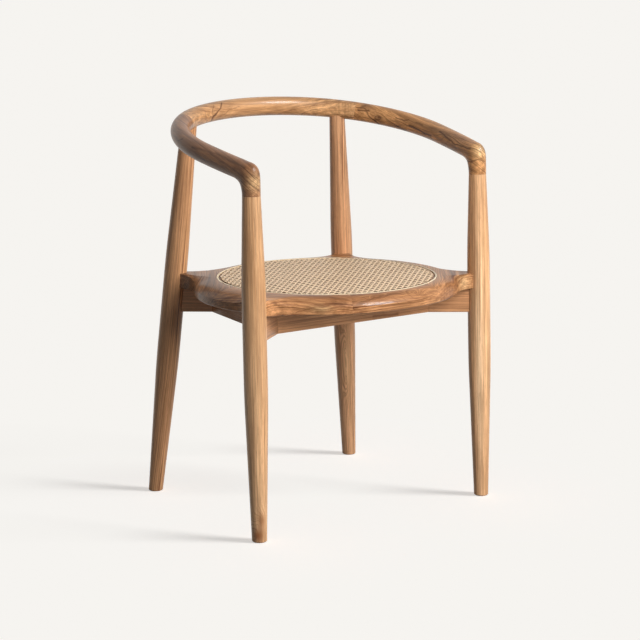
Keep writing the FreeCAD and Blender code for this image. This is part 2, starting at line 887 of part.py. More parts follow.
def roll_turn(end, arc_name, side):
    """Hub, radius and start of the bend that leads the roll's inner line to the ear's axis at the leg."""
    centre, radius, width = seat_arc(arc_name)
    flat = radius - width
    outward = ear_side(end, side)
    root = ear_root(end)
    reach = root - centre
    turn = (reach.Length ** 2 - flat ** 2) / (2 * (flat - reach.dot(outward)))
    hub = root + outward * turn
    return hub, turn, centre + (hub - centre).normalize() * flat


def direction_angle(point):
    return math.atan2(point.y, point.x)


# The butt joints of the seat stand a little away from the ears

front_leave = ear_flank(FRONT, FRONT, -1)[0]
rear_leave = ear_flank(REAR, REAR, 1)[0]
front_joint = direction_angle(front_leave) - size("front_joint_margin") / front_leave.Length
rear_joint = direction_angle(rear_leave) + size("rear_joint_margin") / rear_leave.Length


def plain_outline(end):
    """Outline of the front or rear piece of the seat, which has no ear."""
    first, last = (-math.pi - front_joint, front_joint) if end == FRONT else (rear_joint, math.pi - rear_joint)
    opening = size("seat_opening_radius")
    middle = (first + last) / 2
    return [
        line(polar(opening, first), on_arc(end, first)),
        arc(on_arc(end, first), on_arc(end, middle), on_arc(end, last)),
        line(on_arc(end, last), polar(opening, last)),
        arc(polar(opening, last), polar(opening, middle), polar(opening, first)),
    ]


def ear_limits(end):
    """The angles of the two joints of a piece with an ear, each with the arc that it cuts."""
    if end == FRONT:
        return (front_joint, FRONT), (0.0, "side")
    return (0.0, "side"), (rear_joint, REAR)


def ear_outline(end):
    """Outline of a right-hand piece of the seat with its ear, which runs on to the leg's axis."""
    (first, low_arc), (last, high_arc) = ear_limits(end)
    opening = size("seat_opening_radius")
    low = ear_flank(end, low_arc, -1)
    high = ear_flank(end, high_arc, 1)
    low_middle = on_arc(low_arc, (first + direction_angle(low[0])) / 2)
    high_middle = on_arc(high_arc, (last + direction_angle(high[0])) / 2)
    return [
        line(polar(opening, first), on_arc(low_arc, first)),
        arc(on_arc(low_arc, first), low_middle, low[0]),
        arc(*low),
        line(low[2], high[2]),
        arc(high[2], high[1], high[0]),
        arc(high[0], high_middle, on_arc(high_arc, last)),
        line(on_arc(high_arc, last), polar(opening, last)),
        arc(polar(opening, last), polar(opening, (first + last) / 2), polar(opening, first)),
    ]


def edge_section(width, radius, side):
    """What the rolled edge takes off, as radius and height; side is -1 where it lies inside the arc."""

    def at(out, above):
        return Vector(radius + side * out, size("seat_thickness") + above, 0)

    drop = size("seat_edge_drop")
    slope = math.radians(size("seat_edge_slope"))
    spare = 2 * size("cane_thickness")
    chord = math.hypot(width, drop)
    chord_slope = math.atan2(drop, width)
    sagitta = chord / 2 * math.tan((chord_slope - slope) / 2)
    start = at(0, 0)
    middle = at(width / 2 + sagitta * drop / chord, -drop / 2 + sagitta * width / chord)
    end = at(width, -drop)
    inner = at(-spare, spare * math.tan(slope))
    outer = at(width + spare, -drop - spare * math.tan(2 * chord_slope - slope))
    lid_inner = at(-spare, 2 * spare)
    lid_outer = at(width + spare, 2 * spare)
    return [
        line(inner, start),
        arc(start, middle, end),
        line(end, outer),
        line(outer, lid_outer),
        line(lid_outer, lid_inner),
        line(lid_inner, inner),
    ]


def roll_edge(body, label, hub, radius, first, last, width, side):
    """Rolls the board's top edge off about a hub, anticlockwise from one direction to another."""
    offset = Placement(Vector(hub.x, 0, -hub.y), Rotation(Vector(0, 1, 0), math.degrees(first)))
    sketch = new_sketch(body, label + "_section", "XZ_Plane", offset)
    draw_chain(sketch, edge_section(width, radius, side))
    roll = body.newObject("PartDesign::Groove", label)
    roll.Profile = sketch
    roll.ReferenceAxis = (sketch, ["V_Axis"])
    roll.Angle = math.degrees((last - first) % (2 * math.pi))
    doc.recompute()


ROLL_OVERSHOOT = math.radians(4)


def roll_ear(body, end, side):
    """The rolled edge of one side of a piece with an ear: along the oval, then round to the leg."""
    limit, arc_name = ear_limits(end)[0 if side < 0 else 1]
    centre, radius, width = seat_arc(arc_name)
    hub, turn, leave = roll_turn(end, arc_name, side)
    begin = on_arc(arc_name, limit + side * ROLL_OVERSHOOT, width)
    oval = [direction_angle(begin - centre), direction_angle(leave - centre)]
    bend = [direction_angle(ear_root(end) - hub), direction_angle(leave - hub)]
    if side > 0:
        oval.reverse()
        bend.reverse()
    label = f"{end}_{arc_name}_roll"
    roll_edge(body, label, centre, radius - width, oval[0], oval[1], width, 1)
    roll_edge(body, label + "_bend", hub, turn, bend[0], bend[1], width, -1)


def roll_plain(body, end):
    """The rolled edge of the front or rear piece, carried past both joints."""
    centre, radius, width = seat_arc(end)
    last = front_joint if end == FRONT else math.pi - rear_joint
    first = -math.pi - last if end == FRONT else rear_joint
    begin = direction_angle(on_arc(end, first - ROLL_OVERSHOOT, width) - centre)
    finish = direction_angle(on_arc(end, last + ROLL_OVERSHOOT, width) - centre)
    roll_edge(body, end + "_plain_roll", centre, radius - width, begin, finish, width, 1)


def seat_key(name, angle):
    """The loose tenon of a butt joint of the seat board."""
    middle = (size("seat_opening_radius") + on_arc(name, angle).Length) / 2
    level = UP * (size("seat_thickness") - size("seat_key_drop"))
    centre = seat_frame.multVec(polar(middle, angle) + level)
    direction = seat_frame.Rotation.multVec(polar(1, angle + math.pi / 2))
    across = seat_frame.Rotation.multVec(polar(1, angle))
    return Key(f"seat_{name}_key", "seat_key", centre, direction, across)


seat_joints = {
    FRONT: seat_key(FRONT, front_joint),
    "side": seat_key("side", 0.0),
    REAR: seat_key(REAR, rear_joint),
}


def annular_groove(body, name, outer, inner, depth):
    """A round slot in the top of the board, turned about the seat's centre."""
    sketch = new_sketch(body, name + "_section", "XZ_Plane")
    top = size("seat_thickness")
    over = top + size("cane_thickness")
    corners = [(inner, top - depth), (outer, top - depth), (outer, over), (inner, over)]
    draw_chain(sketch, polygon([Vector(x, y, 0) for x, y in corners]))
    slot = body.newObject("PartDesign::Groove", name)
    slot.Profile = sketch
    slot.ReferenceAxis = (sketch, ["V_Axis"])
    slot.Angle = 360
    return slot


groove_inner = size("groove_radius") - size("groove_width") / 2
groove_outer = size("groove_radius") + size("groove_width") / 2


def ear_shoulder(body, label, arc_name):
    """Lowers an ear below the top, with a slope that ends on the oval's outline."""
    centre, radius, width = seat_arc(arc_name)
    sketch = new_sketch(body, label + "_section", "XZ_Plane", Placement(Vector(centre.x, 0, -centre.y), Rotation()))
    top = size("seat_thickness")
    over = top + size("cane_thickness")
    begin = radius - width + size("seat_bottom_chamfer")
    far = radius + size("ear_blend_radius")
    level = top - size("ear_drop")
    corners = [(begin, top), (radius, level), (far, level), (far, over), (begin, over)]
    draw_chain(sketch, polygon([Vector(x, y, 0) for x, y in corners]))
    slope = body.newObject("PartDesign::Groove", label)
    slope.Profile = sketch
    slope.ReferenceAxis = (sketch, ["V_Axis"])
    slope.Angle = 360
    doc.recompute()


def seat_blank(label, outline_edges):
    """A flat piece of the seat with its bottom edge bevelled."""
    body = doc.addObject("PartDesign::Body", label + "_blank")
    outline = new_sketch(body, label + "_outline")
    draw_chain(outline, outline_edges)
    board = body.newObject("PartDesign::Pad", label + "_board")
    board.Profile = outline
    board.Length = size("seat_thickness")
    bind(board, "Length", "sizes.seat_thickness")
    doc.recompute()
    rims = []
    for number, edge in enumerate(board.Shape.Edges, 1):
        middle = edge.valueAt((edge.FirstParameter + edge.LastParameter) / 2)
        if edge.BoundBox.ZMax < 0.01 and math.hypot(middle.x, middle.y) > 0.95 * size("seat_front_reach"):
            rims.append(f"Edge{number}")
    bevel = body.newObject("PartDesign::Chamfer", label + "_bevel")
    bevel.Base = (board, rims)
    bind(bevel, "Size", "sizes.seat_bottom_chamfer")
    doc.recompute()
    return body


def cut_cane_seat(body, label):
    """The groove for the reed spline and the shallow rebate that the cane lies in."""
    annular_groove(body, label + "_groove", groove_outer, groove_inner, size("groove_depth"))
    rebate = groove_inner + size("groove_width") / 4
    annular_groove(body, label + "_rebate", rebate, size("seat_opening_radius") / 2, size("cane_thickness"))
    body.Placement = seat_frame


def make_plain_piece(end):
    """The front or rear piece of the seat, between the two pieces with ears."""
    label = f"seat_{end}"
    body = seat_blank(label, plain_outline(end))
    roll_plain(body, end)
    cut_cane_seat(body, label)
    slot = seat_joints[end].hole("_plain_slot")
    return cut(label, body, [slot, mirrored(slot.Name + "_left", slot)])


def make_ear_piece(end):
    """A right-hand piece of the seat: ear, rolled edge, cane groove and rebate, coped to the leg."""
    label = f"seat_{end}_right"
    body = seat_blank(label, ear_outline(end))
    roll_ear(body, end, -1)
    roll_ear(body, end, 1)
    ear_shoulder(body, end + "_end_shoulder", end)
    ear_shoulder(body, end + "_side_shoulder", "side")
    cut_cane_seat(body, label)
    holes = [leg_clearance(end + "_ear_cope", end)]
    holes += [seat_joints[joint].hole(f"_{end}_slot") for joint in (end, "side")]
    holes.append(
        cylinder(
            end + "_screw_pilot",
            screw_foot(end),
            seat_up,
            size("screw_diameter") / 2 + size("fit_gap"),
            "sizes.screw_diameter / 2 + sizes.fit_gap",
            size("strut_height") + size("screw_grip") + size("end_gap"),
            "sizes.strut_height + sizes.screw_grip + sizes.end_gap",
        )
    )
    return cut(label, body, holes)


def turned_ring(label, corners):
    """A round piece turned about the seat's centre, from corners given as radius and height."""
    body = doc.addObject("PartDesign::Body", label)
    sketch = new_sketch(body, label + "_section", "XZ_Plane")
    draw_chain(sketch, corners)
    ring = body.newObject("PartDesign::Revolution", label + "_turning")
    ring.Profile = sketch
    ring.ReferenceAxis = (sketch, ["V_Axis"])
    ring.Angle = 360
    body.Placement = seat_frame.multiply(Placement(UP * size("seat_thickness"), Rotation()))
    return body


def make_cane_panel():
    """The cane: a thin disc whose rim is turned down into the groove. Heights are from the seat's top."""
    thick = size("cane_thickness")
    rim = groove_inner + size("fit_gap")
    corners = [
        Vector(0, -thick, 0),
        Vector(rim, -thick, 0),
        Vector(rim, -size("cane_turn_down"), 0),
        Vector(rim + thick, -size("cane_turn_down"), 0),
        Vector(rim + thick, 0, 0),
        Vector(0, 0, 0),
    ]
    return turned_ring("cane_panel", polygon(corners))


def make_cane_spline():
    """The reed spline that holds the cane in its groove: flat sides and a round top."""
    inner = groove_inner + 2 * size("fit_gap") + size("cane_thickness")
    outer = groove_outer - size("fit_gap")
    middle = (inner + outer) / 2
    low = -size("cane_turn_down")
    crown = size("spline_rise")
    edges = [
        line(Vector(inner, 0, 0), Vector(inner, low, 0)),
        line(Vector(inner, low, 0), Vector(outer, low, 0)),
        line(Vector(outer, low, 0), Vector(outer, 0, 0)),
        arc(Vector(outer, 0, 0), Vector(middle, crown, 0), Vector(inner, 0, 0)),
    ]
    return turned_ring("cane_spline", edges)


# Fasteners


def make_pegs(name, joints):
    """All pegs of one kind, for the right-hand joints and their left-hand mates."""
    pegs = [joint.peg("_peg") for joint in joints]
    pegs += [joint.peg("_peg_left", left=True) for joint in joints]
    return group(name, pegs)


def screw(name, foot):
    """A countersunk wood screw that stands in a strut and grips the seat board."""
    head_radius = size("screw_head_diameter") / 2
    shank_radius = size("screw_diameter") / 2
    head = size("screw_head_height")
    length = size("screw_length")
    body = doc.addObject("PartDesign::Body", name)
    sketch = new_sketch(body, name + "_section", "XZ_Plane")
    corners = [
        Vector(0, -head, 0),
        Vector(head_radius, -head, 0),
        Vector(head_radius, 0, 0),
        Vector(shank_radius, 0, 0),
        Vector(shank_radius, length - 2 * shank_radius, 0),
        Vector(0, length, 0),
    ]
    draw_chain(sketch, polygon(corners))
    turned = body.newObject("PartDesign::Revolution", name + "_turning")
    turned.Profile = sketch
    turned.ReferenceAxis = (sketch, ["V_Axis"])
    turned.Angle = 360
    body.Placement = Placement(foot + seat_up * screw_seat_depth(), seat_frame.Rotation)
    return body


def make_screws():
    screws = []
    for end in (FRONT, REAR):
        screws.append(screw(end + "_screw_right", screw_foot(end)))
        screws.append(screw(end + "_screw_left", flip(screw_foot(end))))
    return group("seat_screws", screws)


# The whole chair

pieces = {"crest_rail": make_crest_rail()}
right_hand = {
    "rail_corner": make_rail_corner(),
    "arm": make_arm(),
    "front_leg": make_front_leg(),
    "rear_leg": make_rear_leg(),
    "front_strut": make_strut(FRONT),
    "rear_strut": make_strut(REAR),
    "side_apron": make_apron("side", "side_apron_right"),
    "seat_front": make_ear_piece(FRONT),
    "seat_rear": make_ear_piece(REAR),
}
for stem, piece in right_hand.items():
    pieces[stem + "_right"] = piece
    pieces[stem + "_left"] = mirrored(stem + "_left", piece)
pieces["seat_front"] = make_plain_piece(FRONT)
pieces["seat_rear"] = make_plain_piece(REAR)
pieces["front_apron"] = make_apron(FRONT, "front_apron")
pieces["rear_apron"] = make_apron(REAR, "rear_apron")
pieces["cane_panel"] = make_cane_panel()
pieces["cane_spline"] = make_cane_spline()
pieces["rail_dowels"] = make_pegs("rail_dowels", [crest_joint, arm_joint])
pieces["arm_dowels"] = make_pegs("arm_dowels", [elbow_joint])
pieces["seat_tenons"] = make_pegs("seat_tenons", list(seat_joints.values()))
frame_keys = [key for name in (FRONT, REAR, "side") for key, _ in apron_keys(name)]
pieces["apron_tenons"] = make_pegs("apron_tenons", frame_keys)
pieces["seat_screws"] = make_screws()

for label, piece in pieces.items():
    piece.Label = label
doc.recompute()

# Every feature has to be sound before anything is written

for thing in doc.Objects:
    if "Invalid" in thing.State or "Error" in thing.State:
        raise RuntimeError(f"{thing.Name} failed: {thing.State}")
for label, piece in pieces.items():
    if piece.Shape.isNull() or not piece.Shape.isValid():
        raise RuntimeError(f"{label} has no sound shape")

os.makedirs("parts", exist_ok=True)
for label, piece in pieces.items():
    piece.Shape.exportStep(f"parts/{label}.step")
    box = piece.Shape.BoundBox
    print(f"{label}: solids {len(piece.Shape.Solids)}, volume {piece.Shape.Volume / 1000:.1f} cm3, "
          f"box {box.XMin:.1f} {box.YMin:.1f} {box.ZMin:.1f} to {box.XMax:.1f} {box.YMax:.1f} {box.ZMax:.1f}")
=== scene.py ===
import math

import bpy
import numpy as np
from mathutils import Matrix, Vector
from mathutils.bvhtree import BVHTree


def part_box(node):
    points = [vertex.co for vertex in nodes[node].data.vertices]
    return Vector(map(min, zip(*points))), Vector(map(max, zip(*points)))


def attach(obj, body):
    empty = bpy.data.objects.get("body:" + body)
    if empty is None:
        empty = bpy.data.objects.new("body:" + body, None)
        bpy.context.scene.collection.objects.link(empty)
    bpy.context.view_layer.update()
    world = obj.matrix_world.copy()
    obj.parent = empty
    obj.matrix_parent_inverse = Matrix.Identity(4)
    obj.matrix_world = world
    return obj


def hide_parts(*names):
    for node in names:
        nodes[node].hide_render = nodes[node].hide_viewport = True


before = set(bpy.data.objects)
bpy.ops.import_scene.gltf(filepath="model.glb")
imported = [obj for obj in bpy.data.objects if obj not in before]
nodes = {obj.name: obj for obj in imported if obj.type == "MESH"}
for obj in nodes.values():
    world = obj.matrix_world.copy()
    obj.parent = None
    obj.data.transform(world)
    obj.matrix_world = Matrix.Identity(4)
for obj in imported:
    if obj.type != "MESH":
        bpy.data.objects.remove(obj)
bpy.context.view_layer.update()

MM = 0.001
BLACK = (0, 0, 0, 1)
WHITE = (1, 1, 1, 1)

# The camera of the photograph: its place, where it stands as seen from the chair, its focal length in
# pixels of a picture this wide, and the direction in which it looks
CAMERA_PLACE = Vector((-2.324095, -3.220325, 1.147271))
AZIMUTH, ELEVATION = math.radians(-35.797), math.radians(11.381)
FOCAL_PIXELS, PICTURE_PIXELS = 2127.039, 640
LEVEL = math.cos(ELEVATION)
SIGHT = Vector((-math.sin(AZIMUTH) * LEVEL, math.cos(AZIMUTH) * LEVEL, -math.sin(ELEVATION)))


def colour(red, green, blue):
    """A screen colour (0 to 255) as the linear colour that a shader takes."""
    parts = []
    for value in (red, green, blue):
        value = value / 255
        parts.append(value / 12.92 if value <= 0.04045 else ((value + 0.055) / 1.055) ** 2.4)
    return (*parts, 1.0)


class Graph:
    """Adds shader nodes to a material or a sky; an input is a value or another node's output."""

    # Sockets of the node that mixes two colours
    MIX_FACTOR, MIX_FIRST, MIX_SECOND, MIX_RESULT = 0, 6, 7, 2

    def __init__(self, tree):
        self.tree = tree
        self.tree.nodes.clear()

    def add(self, kind, inputs=None, **settings):
        made = self.tree.nodes.new("ShaderNode" + kind)
        for key, value in settings.items():
            setattr(made, key, value)
        for key, value in (inputs or {}).items():
            if isinstance(value, bpy.types.NodeSocket):
                self.tree.links.new(value, made.inputs[key])
            else:
                made.inputs[key].default_value = value
        return made

    def math(self, operation, first, second=0.5, clamp=False):
        made = self.add("Math", {0: first, 1: second}, operation=operation, use_clamp=clamp)
        return made.outputs[0]

    def vector(self, operation, first, second):
        return self.add("VectorMath", {0: first, 1: second}, operation=operation).outputs[0]

    def measure(self, operation, first, second=(0, 0, 0)):
        """A number taken from vectors: a length, a distance or a dot product."""
        return self.add("VectorMath", {0: first, 1: second}, operation=operation).outputs["Value"]

    def scaled(self, value, factor, start):
        """A value times a factor, plus a start."""
        return self.add("Math", {0: value, 1: factor, 2: start}, operation="MULTIPLY_ADD").outputs[0]

    def swing(self, value, amount):
        """A noise from 0 to 1 as a swing of this amount about zero."""
        return self.scaled(value, amount, -amount / 2)

    def noise(self, place, scale=1.0, detail=2.0, roughness=0.5, output="Fac"):
        inputs = {"Vector": place, "Scale": scale, "Detail": detail, "Roughness": roughness}
        return self.add("TexNoise", inputs).outputs[output]

    def grain(self, place, stretch, shift=(0, 0, 0), **look):
        """A noise whose repeats per metre differ along and across the grain."""
        mapped = self.add("Mapping", {"Vector": place, "Scale": stretch, "Location": shift})
        return self.noise(mapped.outputs[0], **look)

    def bands(self, value, seed, detail):
        """Bands of uneven width along a value."""
        inputs = {"W": self.math("ADD", value, seed), "Scale": 1.0, "Detail": detail}
        return self.add("TexNoise", inputs, noise_dimensions="1D").outputs["Fac"]

    def line(self, value, width):
        """1 where a value is zero, falling to 0 at a width on either side."""
        away = self.math("DIVIDE", self.math("ABSOLUTE", value), width)
        return self.math("SUBTRACT", 1.0, away, clamp=True)

    def ramp(self, value, stops):
        made = self.add("ValToRGB", {"Fac": value})
        points = made.color_ramp.elements
        while len(points) < len(stops):
            points.new(0.5)
        for point, (place, shade) in zip(points, stops):
            point.position = place
            point.color = shade
        return made.outputs["Color"]

    def mix(self, factor, first, second, blend="MIX"):
        inputs = {self.MIX_FACTOR: factor, self.MIX_FIRST: first, self.MIX_SECOND: second}
        made = self.add("Mix", inputs, data_type="RGBA", blend_type=blend)
        return made.outputs[self.MIX_RESULT]

    def seen(self):
        """1 for what the camera sees, also by reflection or through glass, and 0 for all other light."""
        path = self.add("LightPath")
        seen = self.math("MAXIMUM", path.outputs["Is Camera Ray"], path.outputs["Is Glossy Ray"])
        return self.math("MAXIMUM", seen, path.outputs["Is Transmission Ray"])

    def finish(self, shader):
        self.add("OutputMaterial", {"Surface": shader})


def new_material(name):
    material = bpy.data.materials.new(name)
    material.use_nodes = True
    return material, Graph(material.node_tree)


# Noises in the teak, with their repeats per metre along the grain and in the two directions across it
WANDER = {"stretch": (2.2, 11, 11), "output": "Color"}
TREMBLE = {"stretch": (14, 160, 160)}
PATCH = {"stretch": (5, 30, 30), "shift": (3.1, 0.4, 1.7), "detail": 1.0}
CLOUD = {"stretch": (2.4, 12, 12), "shift": (7.0, 2.0, 5.0), "detail": 1.0}
STREAK = {"stretch": (3.5, 110, 110)}
FIBRE = {"stretch": (8, 250, 250), "detail": 3.0, "roughness": 0.6}
PORE = {"stretch": (55, 1500, 1500), "detail": 1.0}
WOBBLE = {"scale": 70.0, "detail": 1.0}

# How far the tremble moves a growth ring, and the wobble a vein
TREMBLE_DEPTH = 1.1 * MM
WOBBLE_DEPTH = 5 * MM

# Lines that follow the growth rings: how often they come, where their noise starts, and their width
DARK_LINES = {"often": 0.35, "seed": 31.0, "width": 0.035}
THIN_LINES = {"often": 1.6, "seed": 57.0, "width": 0.07}

# The patches of the wood in which the dark lines show
PATCH_CONTRAST, PATCH_START = 4.0, -1.3

# The warm colour's share, and how much the bands between the rings and the clouds change it
WARM_SHARE, BAND_SWING, CLOUD_SWING = 0.4, 0.8, 2.0
BAND_DETAIL = 1.5

# What the streaks and fibres do to the colour, and how deep the pores show
STREAK_SHADES = [(0.3, (0.66, 0.62, 0.58, 1)), (0.66, (1.24, 1.24, 1.23, 1))]
FIBRE_SHADES = [(0.3, (0.70, 0.66, 0.62, 1)), (0.68, (1.18, 1.18, 1.17, 1))]
PORE_STOPS = [(0.56, BLACK), (0.7, WHITE)]
PORE_SHARE = 0.3

# The oiled surface
GLOSS_SPREAD = 0.16
COAT, COAT_ROUGHNESS = 0.16, 0.1
RELIEF_STRENGTH, RELIEF_HEIGHT = 0.12, 0.2 * MM
EDGE_RADIUS, EDGE_SAMPLES = 1.2 * MM, 4

# The length over which the ends of a vein fade
VEIN_FADE = 3 * MM

# The direction of the grain in a plank's own coordinates, and the side to which an axis is turned
GRAIN = Vector((1, 0, 0))
AXIS_SIDE = Vector((0.3, 0.2, 1))


def mesh_points(node):
    return np.array([vertex.co for vertex in nodes[node].data.vertices], float)


def grain_axis(node):
    """The long direction of a piece, which its grain follows."""
    points = mesh_points(node)
    spread = np.cov((points - points.mean(0)).T)
    _, directions = np.linalg.eigh(spread)
    axis = Vector(directions[:, -1])
    return axis if axis.dot(AXIS_SIDE) > 0 else -axis


def chair_surface():
    """All the faces of the chair, to find what the photograph shows at a pixel."""
    points, faces = [], []
    for piece in nodes.values():
        first = len(points)
        points.extend(vertex.co for vertex in piece.data.vertices)
        faces.extend([first + corner for corner in face.vertices] for face in piece.data.polygons)
    return BVHTree.FromPolygons(points, faces)


chair = chair_surface()


def photo_point(pixel):
    """The point of the chair at a pixel of the photograph, or None beside the chair."""
    right = Vector((math.cos(AZIMUTH), math.sin(AZIMUTH), 0))
    down = SIGHT.cross(right)
    x, y = pixel
    ray = SIGHT * FOCAL_PIXELS + right * (x - PICTURE_PIXELS / 2) + down * (y - PICTURE_PIXELS / 2)
    point, _, _, _ = chair.ray_cast(CAMERA_PLACE, ray.normalized())
    return point


def ring_count(graph, plank, tone, swirls):
    """The number of growth rings between the pith and each point, and the hearts of the swirls."""
    wander = graph.vector("SUBTRACT", graph.grain(plank, **WANDER), (0.5, 0.5, 0.5))
    wander = graph.vector("MULTIPLY", wander, (tone["wander"],) * 3)
    across_grain = graph.vector("MULTIPLY", graph.vector("ADD", plank, wander), (0, 1, 1))
    ring = graph.measure("LENGTH", across_grain)
    hearts = []
    for middle, along, across, rise, heart in swirls:
        offset = graph.vector("SUBTRACT", plank, middle)
        reach = (1 / (along * MM), 1 / (across * MM), 1 / (across * MM))
        offset = graph.vector("MULTIPLY", offset, reach)
        squared = graph.measure("DOT_PRODUCT", offset, offset)
        bulge = graph.math("EXPONENT", graph.math("MULTIPLY", squared, -1.0))
        ring = graph.math("ADD", ring, graph.math("MULTIPLY", bulge, rise * MM))
        hearts.append((heart, graph.math("MULTIPLY", bulge, bulge)))
    tremble = graph.grain(plank, **TREMBLE)
    ring = graph.math("ADD", ring, graph.math("MULTIPLY", tremble, TREMBLE_DEPTH))
    return graph.math("DIVIDE", ring, tone["ring"]), hearts


def ring_lines(graph, count, often, seed, width):
    """Thin lines that follow the growth rings."""
    bands = graph.bands(graph.math("MULTIPLY", count, often), seed, detail=1.0)
    return graph.line(graph.math("SUBTRACT", bands, 0.5), width)


def vein_line(graph, place, wobble, start, end, width):
    """1 along a dark vein: a thin sheet that the camera sees edge on, from one point to another."""
    along = (end - start).normalized()
    normal = along.cross(SIGHT).normalized()
    offset = graph.vector("SUBTRACT", place, (start + end) / 2)
    off = graph.math("ADD", graph.measure("DOT_PRODUCT", offset, normal), wobble)
    run = graph.math("ABSOLUTE", graph.measure("DOT_PRODUCT", offset, along))
    rest = graph.math("SUBTRACT", (end - start).length / 2 + VEIN_FADE, run)
    fade = graph.math("DIVIDE", rest, VEIN_FADE, clamp=True)
    return graph.math("MULTIPLY", graph.line(off, width), fade)


def dark_share(graph, plank, place, count, tone, veins):
    """How much of the dark colour shows: lines along the growth rings, and the veins."""
    patch = graph.scaled(graph.grain(plank, **PATCH), PATCH_CONTRAST, PATCH_START)
    dark = graph.math("MULTIPLY", ring_lines(graph, count, **DARK_LINES), patch, clamp=True)
    dark = graph.math("MULTIPLY", dark, tone["vein"])
    thin = graph.math("MULTIPLY", ring_lines(graph, count, **THIN_LINES), tone["thin"])
    share = graph.math("MAXIMUM", dark, thin)
    wobble = graph.swing(graph.noise(place, **WOBBLE), WOBBLE_DEPTH)
    for width, depth, pixels in veins.values():
        points = [photo_point(pixel) for pixel in pixels]
        points = [point for point in points if point is not None]
        for start, end in zip(points, points[1:]):
            line = vein_line(graph, place, wobble, start, end, width * MM)
            share = graph.math("MAXIMUM", share, graph.math("MULTIPLY", line, depth))
    return share


def wood_material(name, axis, centre, tone, swirls, veins):
    """Oiled teak from a log whose grain runs along an axis; tone holds its colours and figure."""
    material, graph = new_material(name)
    turn = axis.rotation_difference(GRAIN).to_matrix()
    shift = Vector(tone["pith"]) - turn @ centre
    place = graph.add("TexCoord").outputs["Object"]
    mapping = {"Vector": place, "Rotation": turn.to_euler(), "Location": shift}
    plank = graph.add("Mapping", mapping).outputs[0]
    swirls = [(turn @ (Vector(spot) * MM) + shift, *rest) for spot, *rest in swirls]
    count, hearts = ring_count(graph, plank, tone, swirls)
    fibre = graph.grain(plank, **FIBRE)
    pore = graph.ramp(graph.grain(plank, **PORE), PORE_STOPS)

    bands = graph.swing(graph.bands(count, 0.0, BAND_DETAIL), BAND_SWING)
    clouds = graph.swing(graph.grain(plank, **CLOUD), CLOUD_SWING)
    warm = graph.math("ADD", graph.math("ADD", bands, clouds), WARM_SHARE, clamp=True)
    base = graph.mix(warm, tone["light"], tone["warm"])
    for heart, core in hearts:
        shade = tone["dark"] if heart > 0 else tone["pale"]
        base = graph.mix(graph.math("MULTIPLY", core, abs(heart)), base, shade)
    base = graph.mix(dark_share(graph, plank, place, count, tone, veins), base, tone["dark"])
    streaks = graph.ramp(graph.grain(plank, **STREAK), STREAK_SHADES)
    base = graph.mix(tone["streak"], base, streaks, "MULTIPLY")
    base = graph.mix(1.0, base, graph.ramp(fibre, FIBRE_SHADES), "MULTIPLY")
    base = graph.mix(graph.math("MULTIPLY", pore, PORE_SHARE), base, tone["pore"])

    relief = {
        "Strength": RELIEF_STRENGTH,
        "Distance": RELIEF_HEIGHT,
        "Height": graph.math("SUBTRACT", fibre, pore),
        "Normal": graph.add("Bevel", {"Radius": EDGE_RADIUS}, samples=EDGE_SAMPLES).outputs[0],
    }
    surface = {
        "Base Color": base,
        "Roughness": graph.scaled(fibre, GLOSS_SPREAD, tone["gloss"]),
        "Normal": graph.add("Bump", relief).outputs[0],
        "Specular IOR Level": tone["sheen"],
        "Coat Weight": COAT,
        "Coat Roughness": COAT_ROUGHNESS,
    }
    graph.finish(graph.add("BsdfPrincipled", surface).outputs[0])
    return material


# Tones of the wood: colours, where the pith lies, the width of a ring, and how strong its figure is
LEG = {
    "pale": colour(248, 212, 160),
    "light": colour(236, 195, 152),
    "warm": colour(214, 165, 119),
    "dark": colour(146, 94, 56),
    "pore": colour(128, 84, 52),
    "pith": (0.1, 0.045, 0.09),
    "ring": 3.4 * MM,
    "wander": 12 * MM,
    "vein": 0.65,
    "thin": 0.5,
    "gloss": 0.29,
    "streak": 0.5,
    "sheen": 0.22,
}
# Paler colours that paint the stronger light on the front right leg
LIT_LEG_RIGHT = dict(
    LEG, pale=colour(255, 220, 180), light=colour(246, 200, 154), warm=colour(232, 181, 134), streak=0.7,
)
# Redder colours with a wider figure for the rear legs; their darkness is in part painted shade under the
# seat
SHADED_REAR_LEG = dict(
    LEG, light=colour(226, 175, 129), warm=colour(198, 145, 103), dark=colour(112, 68, 42),
    ring=3.8 * MM, wander=20 * MM, vein=0.8, thin=0.4,
)
# Paler colours that paint more light on the rear right leg than on the rear left
LIT_REAR_LEG_RIGHT = dict(SHADED_REAR_LEG, light=colour(244, 190, 145), warm=colour(228, 171, 128), streak=0.4)
RAIL = dict(
    LEG, light=colour(222, 174, 126), warm=colour(192, 142, 96), dark=colour(92, 54, 30),
    ring=6.2 * MM, wander=30 * MM, vein=0.95, thin=0.4, streak=1.0,
)
CREST = dict(
    RAIL, light=colour(216, 168, 122), warm=colour(196, 146, 100), vein=0.6, thin=0.3, streak=0.5,
)
# Darker colours that paint the shade on the left arm
SHADED_ARM_LEFT = dict(
    RAIL, light=colour(174, 128, 92), warm=colour(138, 94, 64), dark=colour(66, 38, 24),
    ring=4.4 * MM, wander=8 * MM,
)
ARM_RIGHT = dict(
    RAIL, light=colour(214, 160, 108), warm=colour(178, 124, 80), dark=colour(66, 36, 18),
    ring=4.4 * MM, wander=12 * MM, pith=(0.6, 0.16, -0.14),
)
SEAT = dict(
    LEG, light=colour(218, 164, 116), warm=colour(166, 115, 76), dark=colour(104, 62, 38),
    ring=3.6 * MM, wander=16 * MM, vein=0.95, thin=0.6, streak=1.0, sheen=0.12, pith=(0.1, 0.04, 0.09),
)
# Darker colours that paint the shade on the seat's left rear piece
SHADED_SEAT_LEFT = dict(SEAT, light=colour(176, 130, 94), warm=colour(146, 100, 70), dark=colour(80, 48, 30))
UNDERFRAME = dict(
    LEG, light=colour(214, 161, 118), warm=colour(194, 141, 100), dark=colour(120, 76, 46), vein=0.4,
)
PEG = dict(UNDERFRAME, vein=0.2)
